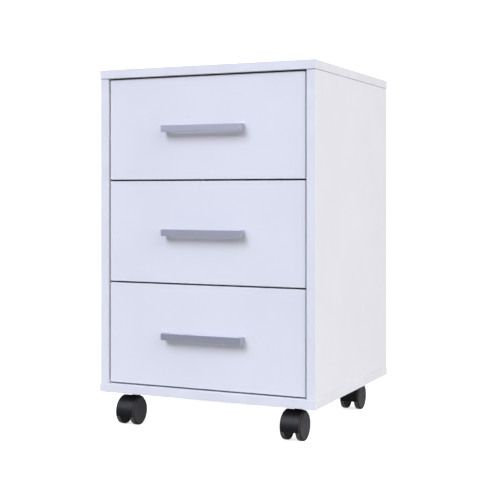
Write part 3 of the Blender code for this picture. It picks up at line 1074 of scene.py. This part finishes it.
# turned on X, with a dished inner face, a groove for the tyre and a seat for the cap
def makeWheel(name, axle, side, low, high):
    radius = (high.z - low.z) / 2
    outer = high.x if side > 0 else low.x
    y, z = axle.y, axle.z
    wallX = outer - side * wheel["wallMm"] * mm
    rimX = outer - side * wheel["widthMm"] * mm
    dishX = rimX + side * wheel["dishMm"] * mm
    hubX = axle.x + side * wheel["hubEndMm"] * mm
    body = addRod(name, radius, (rimX, y, z), (outer, y, z), 96)
    arris = wheel["arrisMm"] * mm
    roundEdges(body, arris, 5, lambda edge: on(edge.verts[0].co.x, edge.verts[1].co.x))
    startEdit(body)
    pick(body, "faces", lambda face: abs(face.normal.x) < 0.05)
    bpy.ops.mesh.extrude_region_move(TRANSFORM_OT_translate={"value": (0, 0, 0)})
    shrink = 1 - (wheel["tyreMm"] + wheel["jointMm"]) * mm / radius
    bpy.ops.transform.resize(value=(1, shrink, shrink), center_override=(axle.x, y, z))
    pick(body, "faces", lambda face: face.normal.x * side < -0.9 and len(face.verts) > 20)
    bpy.ops.mesh.inset(thickness=wheel["rimMm"] * mm - arris)
    bpy.ops.mesh.inset(thickness=wheel["dishSlopeMm"] * mm)
    bpy.ops.transform.translate(value=(dishX - rimX, 0, 0))
    around = wheel["rimMm"] + wheel["dishSlopeMm"] + wheel["hubMm"] + wheel["hubSlopeMm"]
    bpy.ops.mesh.inset(thickness=radius - around * mm)
    bpy.ops.mesh.inset(thickness=wheel["hubSlopeMm"] * mm)
    bpy.ops.transform.translate(value=(rimX - dishX, 0, 0))
    bpy.ops.mesh.extrude_region_move(TRANSFORM_OT_translate={"value": (hubX - rimX, 0, 0)})
    pick(body, "faces", lambda face: face.normal.x * side > 0.9 and len(face.verts) > 20)
    bpy.ops.mesh.inset(thickness=radius - arris - (cap["radiusMm"] + cap["gapMm"]) * mm)
    bpy.ops.mesh.extrude_region_move(TRANSFORM_OT_translate={"value": (-side * cap["seatMm"] * mm, 0, 0)})
    endEdit()
    cutRod(body, wheel["boreMm"] * mm, (hubX - side * past, y, z), (wallX, y, z))
    smooth(body, 30)
    return body


def makeTyre(name, axle, side, low, high):
    y, z = axle.y, axle.z
    outer = high.x if side > 0 else low.x
    edge = (wheel["arrisMm"] + wheel["jointMm"]) * mm
    start = outer - side * (wheel["widthMm"] * mm - edge)
    tyre = addRod(name, (high.z - low.z) / 2, (start, y, z), (outer - side * edge, y, z), 96)
    startEdit(tyre)
    pick(tyre, "faces", lambda face: abs(face.normal.x) > 0.9)
    bpy.ops.mesh.inset(thickness=wheel["tyreMm"] * mm, use_individual=True)
    bpy.ops.mesh.bridge_edge_loops()
    endEdit()
    roundSharp(tyre, wheel["tyreArrisMm"] * mm, 2, 60)
    smooth(tyre, 30)
    return tyre


def makeCap(name, axle, side, outer):
    y, z = axle.y, axle.z
    back = outer - side * cap["backMm"] * mm
    front = outer - side * cap["frontMm"] * mm
    disc = addRod(name, cap["radiusMm"] * mm, (back, y, z), (front, y, z), 72)
    roundEdges(disc, cap["arrisMm"] * mm, 3, lambda edge: all(on(vert.co.x, front) for vert in edge.verts))
    startEdit(disc)
    pick(disc, "faces", lambda face: face.normal.x * side > 0.9 and len(face.verts) > 20)
    bpy.ops.mesh.inset(thickness=cap["borderMm"] * mm)
    bpy.ops.mesh.inset(thickness=cap["slopeMm"] * mm)
    bpy.ops.transform.translate(value=(-side * cap["dishMm"] * mm, 0, 0))
    endEdit()
    smooth(disc, 30)
    return disc


def makeHoodShell(name, axle):  # one section of the cover, spun from the front lip over the top to the rear
    x, y, z = axle
    inner = caster["hoodInnerMm"] * mm
    sheet = caster["hoodSheetMm"] * mm
    half = caster["hoodHalfWidthMm"] * mm
    low = math.asin((caster["hoodFrontMm"] * mm - z) / inner)
    high = math.pi - math.acos(caster["hoodRearMm"] * mm / inner)
    shell = addBox(name, (x - half, y - inner - sheet, z - mm / 2), (x + half, y - inner, z + mm / 2))
    startEdit(shell)
    pick(shell, "faces", lambda face: face.normal.z < 0.9)
    bpy.ops.mesh.delete(type="FACE")
    bpy.ops.mesh.select_all(action="SELECT")
    bpy.ops.transform.translate(value=(0, 0, -mm / 2))
    bpy.ops.transform.rotate(value=low, orient_axis="X", center_override=(x, y, z))
    bpy.ops.mesh.spin(steps=caster["hoodSteps"], angle=high - low, center=(x, y, z), axis=(1, 0, 0))
    bpy.ops.mesh.select_all(action="SELECT")
    bpy.ops.mesh.remove_doubles(threshold=0.001 * mm)
    bpy.ops.mesh.normals_make_consistent(inside=False)
    endEdit()
    roundSharp(shell, caster["lipMm"] * mm, 2, 50)
    return shell


def makeHood(name, axle, bossTop):
    x, y, z = axle
    inner = caster["hoodInnerMm"] * mm
    swivelY = y + caster["trailMm"] * mm
    axleRadius = caster["axleMm"] * mm
    left = caster["bossFloorMm"] * mm
    bore = caster["pinBoreMm"] * mm
    hood = makeHoodShell(name, axle)
    halfArm = caster["armMm"] * mm / 2
    armTop = z + math.sqrt(inner ** 2 - halfArm ** 2) - caster["trailMm"] * mm / 2
    arm = addBox(
        "arm",
        (x - halfArm, y - axleRadius - left, z - axleRadius - left / 2),
        (x + halfArm, swivelY, armTop),
    )

    def acrossFront(edge):  # the arm's edges along X, apart from those inside the boss
        return not on(edge.verts[0].co.x, edge.verts[1].co.x) and middle(edge).y < swivelY - mm

    roundEdges(arm, caster["armArrisMm"] * mm, 4, acrossFront)
    combine(hood, arm, "UNION")
    rib = addBox(
        "rib",
        (x - halfArm / 2, y - inner * caster["ribReach"], z),
        (x + halfArm / 2, swivelY, z + inner * caster["ribTop"]),
    )
    combine(hood, rib, "UNION")
    boss = addRod(
        "boss",
        caster["bossMm"] * mm,
        (x, swivelY, bossTop - bore - left),
        (x, swivelY, bossTop),
        64,
    )
    roundEdges(boss, caster["bossArrisMm"] * mm, 3, lambda edge: on(edge.verts[0].co.z, edge.verts[1].co.z))
    combine(hood, boss, "UNION")
    boreRadius = (caster["pinMm"] + caster["pinClearMm"]) * mm
    cutRod(hood, boreRadius, (x, swivelY, bossTop - bore), (x, swivelY, bossTop + past), 40)
    cutRod(hood, axleRadius, (x - 2 * past, y, z), (x + 2 * past, y, z), 40)
    smooth(hood, 30)
    return hood


def makePlate(name, low, high, swivel):  # stamped plate, with the ball race and kingpin riveted through it
    plate = addBox(name, (low.x, low.y, high.z - caster["plateMm"] * mm), high)
    corner = caster["plateCornerMm"] * mm
    roundEdges(plate, corner, 6, lambda edge: not on(edge.verts[0].co.z, edge.verts[1].co.z))
    roundSharp(plate, caster["plateArrisMm"] * mm, 2, 60)
    under = high.z - caster["plateMm"] * mm
    raceLow = under - caster["raceDeepMm"] * mm
    race = addRod(
        "race",
        caster["raceMm"] * mm,
        (swivel.x, swivel.y, raceLow),
        (swivel.x, swivel.y, under + mm),
        64,
    )
    roundEdges(
        race,
        caster["raceArrisMm"] * mm,
        4,
        lambda edge: all(on(vert.co.z, raceLow) for vert in edge.verts),
    )
    combine(plate, race, "UNION")
    pin = addRod(
        "kingpin",
        caster["pinMm"] * mm,
        (swivel.x, swivel.y, low.z),
        (swivel.x, swivel.y, under),
        40,
    )
    roundEdges(
        pin,
        caster["pinArrisMm"] * mm,
        2,
        lambda edge: all(on(vert.co.z, low.z) for vert in edge.verts),
    )
    combine(plate, pin, "UNION")
    smooth(plate, 30)
    return plate


for word in casters:
    stem = word + "_caster_"
    plateLow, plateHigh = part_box(stem + "plate")
    rightLow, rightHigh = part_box(stem + "right_wheel")
    leftLow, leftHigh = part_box(stem + "left_wheel")
    swivel = (plateLow + plateHigh) / 2
    axle = Vector((swivel.x, (rightLow.y + rightHigh.y) / 2, (rightLow.z + rightHigh.z) / 2))
    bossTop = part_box(stem + "hood")[1].z
    plate = makePlate(stem + "plate_stamping", plateLow, plateHigh, swivel)
    finishPiece(plate, "cabinet", "zinc_steel", zinc, stem + "plate")
    under = plateHigh.z - caster["plateMm"] * mm
    offset = caster["screwOffsetMm"] * mm
    for index, (alongX, alongY) in enumerate(((-1, -1), (1, -1), (-1, 1), (1, 1))):
        place = (swivel.x + alongX * offset, swivel.y + alongY * offset, under)
        placeHead(screwSeed, stem + "plate_screw_" + str(index + 1), "cabinet", place, "-z")
    hoodBody = stem + "hood_body"
    finishPiece(
        makeHood(stem + "hood_moulding", axle, bossTop),
        hoodBody,
        "black_nylon",
        nylon,
        stem + "hood",
    )
    halfLength = caster["axleHalfLengthMm"] * mm
    pinStart, pinEnd = (axle.x - halfLength, axle.y, axle.z), (axle.x + halfLength, axle.y, axle.z)
    pin = addRod(stem + "axle_pin", caster["axleMm"] * mm, pinStart, pinEnd, 40)
    roundSharp(pin, caster["axleArrisMm"] * mm, 2, 60)
    smooth(pin)
    finishPiece(pin, hoodBody, "zinc_steel", zinc)
    for wheelWord, side, low, high in (("left", -1, leftLow, leftHigh), ("right", 1, rightLow, rightHigh)):
        node = stem + wheelWord + "_wheel"
        rides = node + "_body"
        turned = makeWheel(node + "_moulding", axle, side, low, high)
        finishPiece(turned, rides, "black_nylon", wheelNylonPaintedBounce, node)
        tyre = makeTyre(node + "_tyre", axle, side, low, high)
        finishPiece(tyre, rides, "black_tread", tread, node)
        disc = makeCap(node + "_cap", axle, side, high.x if side > 0 else low.x)
        # the cap's grey is a painted reflection, not its own colour
        finishPiece(disc, rides, "black_nylon", capPaintedReflectionNylon)
discard(ballSeed)
discard(screwSeed)
discard(camSeed)
print("casters made")


# a plain pale floor and backdrop, with wide soft lights
studio = {
    "floorHex": "f2f2f3",
    "floorGlow": 0.7,  # as if lit from below as well, so that the shadows stay light
    "backdropGlow": 1.0,
    "worldHex": "f4f6ff",
    "worldStrength": 0.25,
    "lights": [  # name, where it shines from, width in degrees, strength, colour, seen in gloss
        ("keyFromFrontLeft", (-0.35, -1.0, 0.9), 40, 2.58, "ebeeff", True),
        ("fillFromRight", (1.0, -0.06, 0.65), 70, 3.0, "fffcfb", False),
        ("bounceFromFloor", (0.15, -0.1, -1.0), 120, 0.6, "fff1e2", False),
        ("softFromBehind", (-0.7, 1.0, 0.1), 90, 1.4, "fbfcff", False),
    ],
}


def makeSweepMaterial():  # a rolled paper sweep, almost white
    material, tree, shader = startMaterial("palePaperSweep", Roughness=0.9)
    where = addNode(tree, "ShaderNodeTexCoord")
    cloud = addNode(
        tree,
        "ShaderNodeTexNoise",
        {"Scale": 1.5, "Detail": 2.0},
        {"Vector": (where, "Object")},
    )
    tone = addNode(tree, "ShaderNodeValToRGB", {}, {"Fac": (cloud, "Fac")})
    colourStops(tone, "f1f1f2", studio["floorHex"])
    connect(tree, shader, colour=(tone, "Color"))
    shader.inputs["Emission Color"].default_value = (1, 1, 1, 1)
    shader.inputs["Emission Strength"].default_value = studio["floorGlow"]
    return material


def hideFromLight(obj):  # seen by the camera, and left out of the light that falls on the cabinet
    obj.visible_diffuse = False
    obj.visible_glossy = False
    obj.visible_transmission = False
    obj.visible_shadow = False


deselectAll()
bpy.ops.mesh.primitive_plane_add(size=60, location=(0, 0, 0))
floor = bpy.context.active_object
floor.name = "floor"
floor.data.materials.append(makeSweepMaterial())
hideFromLight(floor)

deselectAll()
bpy.ops.mesh.primitive_uv_sphere_add(segments=48, ring_count=24, radius=28)
backdrop = bpy.context.active_object
backdrop.name = "backdrop"
material, tree, shader = startMaterial("whiteBackdrop", Roughness=1.0)
shader.inputs["Emission Color"].default_value = (1, 1, 1, 1)
shader.inputs["Emission Strength"].default_value = studio["backdropGlow"]
backdrop.data.materials.append(material)
hideFromLight(backdrop)

world = bpy.data.worlds.new("studio")
world.use_nodes = True
bpy.context.scene.world = world
background = world.node_tree.nodes["Background"]
background.inputs["Color"].default_value = fromHex(studio["worldHex"])
background.inputs["Strength"].default_value = studio["worldStrength"]

for name, place, width, strength, code, inGloss in studio["lights"]:
    light = bpy.data.lights.new(name, "SUN")
    light.angle = math.radians(width)
    light.energy = strength
    light.color = fromHex(code)[:3]
    lamp = bpy.data.objects.new(name, light)
    bpy.context.scene.collection.objects.link(lamp)
    lamp.location = place
    lamp.visible_glossy = inGloss
    lamp.rotation_euler = (-Vector(place)).to_track_quat("-Z", "Y").to_euler()
print("studio made")

view = {"place": (0.8627, -1.8984, 0.4219), "turn": 24.372, "lens": 78.89, "shiftY": -0.1144}
camera = bpy.data.objects.new("camera", bpy.data.cameras.new("camera"))
bpy.context.scene.collection.objects.link(camera)
camera.data.lens = view["lens"]
camera.data.sensor_width = 36
camera.data.shift_y = view["shiftY"]
camera.location = view["place"]
camera.rotation_euler = (math.radians(90), 0, math.radians(view["turn"]))
bpy.context.scene.camera = camera
bpy.context.scene.view_settings.view_transform = "Standard"
print("camera placed")
